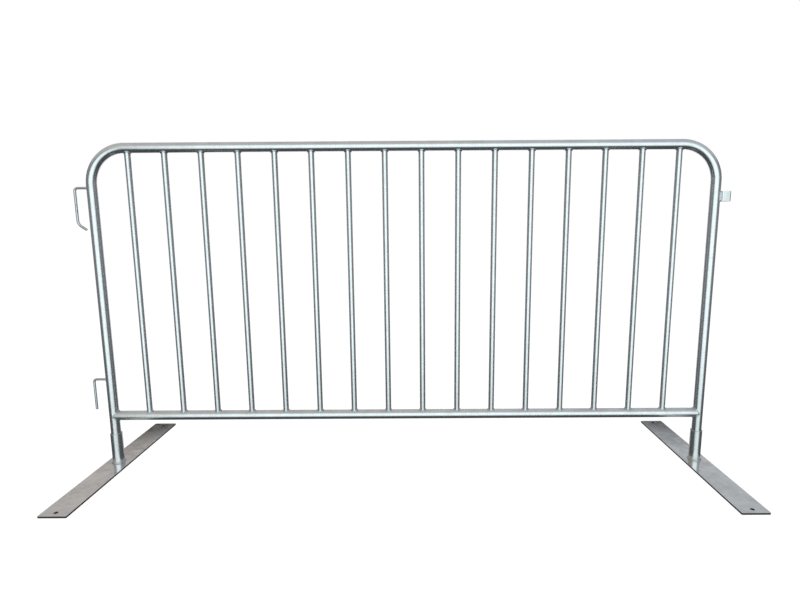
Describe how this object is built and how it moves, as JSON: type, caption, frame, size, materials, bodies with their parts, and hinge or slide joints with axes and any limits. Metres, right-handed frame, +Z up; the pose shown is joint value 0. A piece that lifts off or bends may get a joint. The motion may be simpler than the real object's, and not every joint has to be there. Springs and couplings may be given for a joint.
{
  "type": "crowd control barrier",
  "caption": "Steel crowd control barrier: bent tube hoop with upright bars, link hooks and receiver, standing in two loose swivelling flat feet.",
  "frame": {"origin": "on the ground, midway between the legs", "axes": "+X along the barrier towards the receiver, +Y along the feet, +Z up"},
  "size_m": [2.1485, 0.7, 1.1],
  "materials": {
    "zinc_tube": "bright zinc plating, smooth",
    "zinc_rod": "bright zinc plating, slightly duller",
    "foot_plate": "zinc plating, satin",
    "weld": "plated weld bead, glossy and slightly rippled"
  },
  "bodies": {
    "panel": {"frame_hoop": "zinc_tube", "bottom_rail": "zinc_tube", "upright_01": "zinc_tube", "upright_02": "zinc_tube", "upright_03": "zinc_tube", "upright_04": "zinc_tube", "upright_05": "zinc_tube", "upright_06": "zinc_tube", "upright_07": "zinc_tube", "upright_08": "zinc_tube", "upright_09": "zinc_tube", "upright_10": "zinc_tube", "upright_11": "zinc_tube", "upright_12": "zinc_tube", "upright_13": "zinc_tube", "upright_14": "zinc_tube", "upright_15": "zinc_tube", "upright_16": "zinc_tube", "upright_top_welds": "weld", "upright_bottom_welds": "weld", "rail_end_welds": "weld", "upper_hook": "zinc_rod", "lower_hook": "zinc_rod", "hook_welds": "weld", "hook_receiver": "zinc_tube", "receiver_welds": "weld"},
    "left_socket": {"left_foot_socket": "zinc_tube", "left_socket_weld": "weld"},
    "left_plate": {"left_foot_plate": "foot_plate"},
    "right_socket": {"right_foot_socket": "zinc_tube", "right_socket_weld": "weld"},
    "right_plate": {"right_foot_plate": "foot_plate"}
  },
  "joints": [
    {"name": "left_foot_lift_off", "type": "slide", "parent": "panel", "child": "left_socket", "axis": [0, 0, -1], "range_m": [0, 0.12]},
    {"name": "left_foot_swivel", "type": "hinge", "parent": "left_socket", "child": "left_plate", "pos_m": [-1.02, 0, 0], "axis": [0, 0, 1], "continuous": true},
    {"name": "right_foot_lift_off", "type": "slide", "parent": "panel", "child": "right_socket", "axis": [0, 0, -1], "range_m": [0, 0.12]},
    {"name": "right_foot_swivel", "type": "hinge", "parent": "right_socket", "child": "right_plate", "pos_m": [1.02, 0, 0], "axis": [0, 0, 1], "continuous": true}
  ]
}
